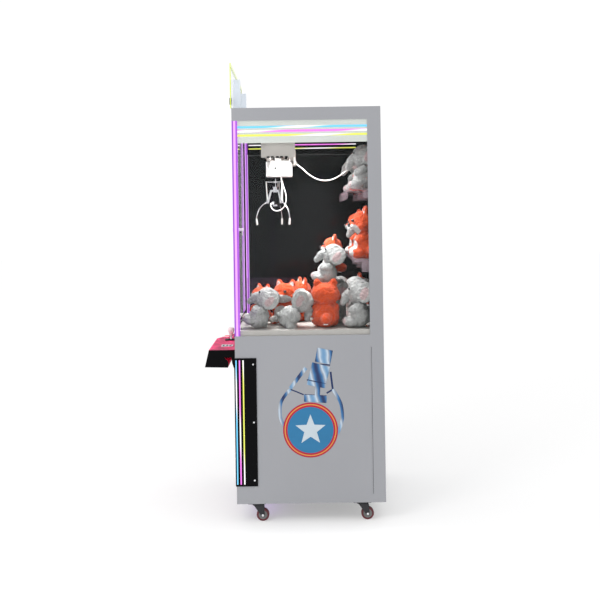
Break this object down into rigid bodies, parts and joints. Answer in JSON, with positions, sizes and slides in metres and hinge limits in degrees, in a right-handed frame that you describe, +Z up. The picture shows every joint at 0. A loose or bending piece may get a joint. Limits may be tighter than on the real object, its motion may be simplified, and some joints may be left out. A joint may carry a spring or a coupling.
{
  "type": "claw crane machine",
  "caption": "Upright arcade crane cabinet on swivel casters with glass sides, front door, console, prize chute, travelling gantry and a closing finger claw over plush prizes.",
  "frame": {"origin": "on the floor under the middle of the whole machine, console included", "axes": "+Z up, the front with the console and the door faces -Y, +X is on the right of a player who faces the front"},
  "size_m": [0.811, 0.853, 2.165],
  "materials": {
    "grey_paint": "satin",
    "white_paint": "satin",
    "black_paint": "satin",
    "steel": "brushed",
    "zinc": "satin",
    "aluminium": "satin",
    "tyre": "matt",
    "clear_glass": "clear",
    "acrylic": "clear",
    "smoke_acrylic": "clear",
    "black_plastic": "gloss",
    "matt_black_plastic": "matt",
    "white_plastic": "gloss",
    "pale_light_plastic": "satin",
    "violet_light_plastic": "satin",
    "line_light_plastic": "satin",
    "pink_console": "gloss",
    "pink_knob": "gloss",
    "red_button": "gloss",
    "board_green": "satin",
    "rubber": "matt",
    "cable_black": "matt",
    "cable_white": "matt",
    "grey_plush": "plush",
    "orange_plush": "plush"
  },
  "bodies": {
    "cabinet": {"base_frame": "black_paint", "caster_plates": "zinc", "side_shell_right": "grey_paint", "side_shell_left": "grey_paint", "side_glass": "clear_glass", "roof_panel": "grey_paint", "ceiling_panel": "white_paint", "rear_panel": "grey_paint", "power_inlet": "matt_black_plastic", "front_panel": "grey_paint", "playfield_deck": "white_plastic", "chute_fence": "acrylic", "prize_chute": "white_paint", "power_supply": "aluminium", "control_board": "board_green", "coin_box": "steel", "valance_panels": "pale_light_plastic", "corner_panels": "black_plastic", "light_lines": "line_light_plastic", "panel_screws": "steel", "glow_strips": "violet_light_plastic", "topper_sign": "acrylic", "topper_supports": "acrylic", "console_shell": "pink_console", "console_cheeks": "black_plastic", "joystick_base": "matt_black_plastic", "coin_slot_housing": "black_plastic", "gantry_rails": "black_paint", "gantry_cable": "cable_white", "prize_shelves": "acrylic", "plush_elephants": "grey_plush", "plush_foxes": "orange_plush"},
    "front_door": {"front_door_frame": "black_paint", "front_glass": "clear_glass", "door_latch": "white_plastic"},
    "prize_flap": {"prize_flap": "smoke_acrylic"},
    "coin_door": {"coin_door": "black_paint"},
    "service_door": {"service_door": "grey_paint"},
    "joystick_cross": {"joystick_gimbal": "steel"},
    "joystick": {"joystick_stick": "pink_knob"},
    "grab_button": {"grab_button": "red_button"},
    "bridge": {"bridge_beam": "white_paint", "bridge_motor": "black_plastic"},
    "trolley": {"trolley_chassis": "white_paint", "trolley_cover": "white_plastic"},
    "claw": {"claw_body": "steel", "hoist_cord": "cable_black", "claw_cable": "cable_white"},
    "plunger": {"claw_yoke": "steel"},
    "claw_finger_1": {"claw_arm_1": "steel"},
    "claw_finger_2": {"claw_arm_2": "steel"},
    "claw_finger_3": {"claw_arm_3": "steel"},
    "caster_swivel_front_left": {"caster_fork_front_left": "zinc"},
    "caster_roll_front_left": {"caster_wheel_front_left": "tyre"},
    "caster_swivel_front_right": {"caster_fork_front_right": "zinc"},
    "caster_roll_front_right": {"caster_wheel_front_right": "tyre"},
    "caster_swivel_rear_left": {"caster_fork_rear_left": "zinc"},
    "caster_roll_rear_left": {"caster_wheel_rear_left": "tyre"},
    "caster_swivel_rear_right": {"caster_fork_rear_right": "zinc"},
    "caster_roll_rear_right": {"caster_wheel_rear_right": "tyre"}
  },
  "joints": [
    {"name": "caster_swivel_front_left", "type": "hinge", "parent": "cabinet", "child": "caster_swivel_front_left", "pos_m": [-0.362, -0.18, 0.0787], "axis": [0, 0, 1], "continuous": true},
    {"name": "caster_roll_front_left", "type": "hinge", "parent": "caster_swivel_front_left", "child": "caster_roll_front_left", "pos_m": [-0.362, -0.154, 0.03], "axis": [1, 0, 0], "continuous": true},
    {"name": "caster_swivel_front_right", "type": "hinge", "parent": "cabinet", "child": "caster_swivel_front_right", "pos_m": [0.362, -0.18, 0.0787], "axis": [0, 0, 1], "continuous": true},
    {"name": "caster_roll_front_right", "type": "hinge", "parent": "caster_swivel_front_right", "child": "caster_roll_front_right", "pos_m": [0.362, -0.154, 0.03], "axis": [1, 0, 0], "continuous": true},
    {"name": "caster_swivel_rear_left", "type": "hinge", "parent": "cabinet", "child": "caster_swivel_rear_left", "pos_m": [-0.362, 0.315, 0.0787], "axis": [0, 0, 1], "continuous": true},
    {"name": "caster_roll_rear_left", "type": "hinge", "parent": "caster_swivel_rear_left", "child": "caster_roll_rear_left", "pos_m": [-0.362, 0.341, 0.03], "axis": [1, 0, 0], "continuous": true},
    {"name": "caster_swivel_rear_right", "type": "hinge", "parent": "cabinet", "child": "caster_swivel_rear_right", "pos_m": [0.362, 0.315, 0.0787], "axis": [0, 0, 1], "continuous": true},
    {"name": "caster_roll_rear_right", "type": "hinge", "parent": "caster_swivel_rear_right", "child": "caster_roll_rear_right", "pos_m": [0.362, 0.341, 0.03], "axis": [1, 0, 0], "continuous": true},
    {"name": "front_door_hinge", "type": "hinge", "parent": "cabinet", "child": "front_door", "pos_m": [-0.364, -0.2675, 1.396], "axis": [0, 0, -1], "range_deg": [0, 105]},
    {"name": "prize_flap_hinge", "type": "hinge", "parent": "cabinet", "child": "prize_flap", "pos_m": [-0.2075, -0.265, 0.486], "axis": [1, 0, 0], "range_deg": [0, 75]},
    {"name": "coin_door_hinge", "type": "hinge", "parent": "cabinet", "child": "coin_door", "pos_m": [0.25, -0.277, 0.405], "axis": [0, 0, 1], "range_deg": [0, 100]},
    {"name": "service_door_hinge", "type": "hinge", "parent": "cabinet", "child": "service_door", "pos_m": [0.259, 0.4265, 0.51], "axis": [0, 0, -1], "range_deg": [0, 105]},
    {"name": "joystick_fore_aft", "type": "hinge", "parent": "cabinet", "child": "joystick_cross", "pos_m": [-0.06, -0.3265, 0.785], "axis": [1, 0, 0], "range_deg": [-15, 15], "stiffness_Nm_per_rad": 0.8},
    {"name": "joystick_side", "type": "hinge", "parent": "joystick_cross", "child": "joystick", "pos_m": [-0.06, -0.3265, 0.785], "axis": [0, 1, 0], "range_deg": [-15, 15], "stiffness_Nm_per_rad": 0.8},
    {"name": "grab_button_press", "type": "slide", "parent": "cabinet", "child": "grab_button", "axis": [0, 0, 1], "range_m": [-0.004, 0], "stiffness_N_per_m": 300, "springref_m": 0.002},
    {"name": "bridge_travel", "type": "slide", "parent": "cabinet", "child": "bridge", "axis": [0, 1, 0], "range_m": [-0.04, 0.245], "deforming": ["gantry_cable"]},
    {"name": "trolley_travel", "type": "slide", "parent": "bridge", "child": "trolley", "axis": [1, 0, 0], "range_m": [-0.04, 0.4]},
    {"name": "claw_lift", "type": "slide", "parent": "trolley", "child": "claw", "axis": [0, 0, 1], "range_m": [-0.47, 0], "deforming": ["hoist_cord", "claw_cable"]},
    {"name": "plunger_pull", "type": "slide", "parent": "claw", "child": "plunger", "axis": [0, 0, 1], "range_m": [-0.018, 0], "stiffness_N_per_m": 300, "springref_m": 0.01},
    {"name": "finger_hinge_1", "type": "hinge", "parent": "claw", "child": "claw_finger_1", "pos_m": [-0.18887, -0.13113, 1.517], "axis": [0.9703, 0.2419, 0], "range_deg": [0, 38.5]},
    {"name": "finger_hinge_2", "type": "hinge", "parent": "claw", "child": "claw_finger_2", "pos_m": [-0.16691, -0.05455, 1.517], "axis": [-0.6947, 0.7193, 0], "range_deg": [0, 38.5]},
    {"name": "finger_hinge_3", "type": "hinge", "parent": "claw", "child": "claw_finger_3", "pos_m": [-0.24422, -0.07382, 1.517], "axis": [-0.2756, -0.9613, 0], "range_deg": [0, 38.5]}
  ],
  "couplings": [
    {"joint": "finger_hinge_1", "follows": "plunger_pull", "rad_per_m": -36.8},
    {"joint": "finger_hinge_2", "follows": "plunger_pull", "rad_per_m": -36.8},
    {"joint": "finger_hinge_3", "follows": "plunger_pull", "rad_per_m": -36.8}
  ]
}
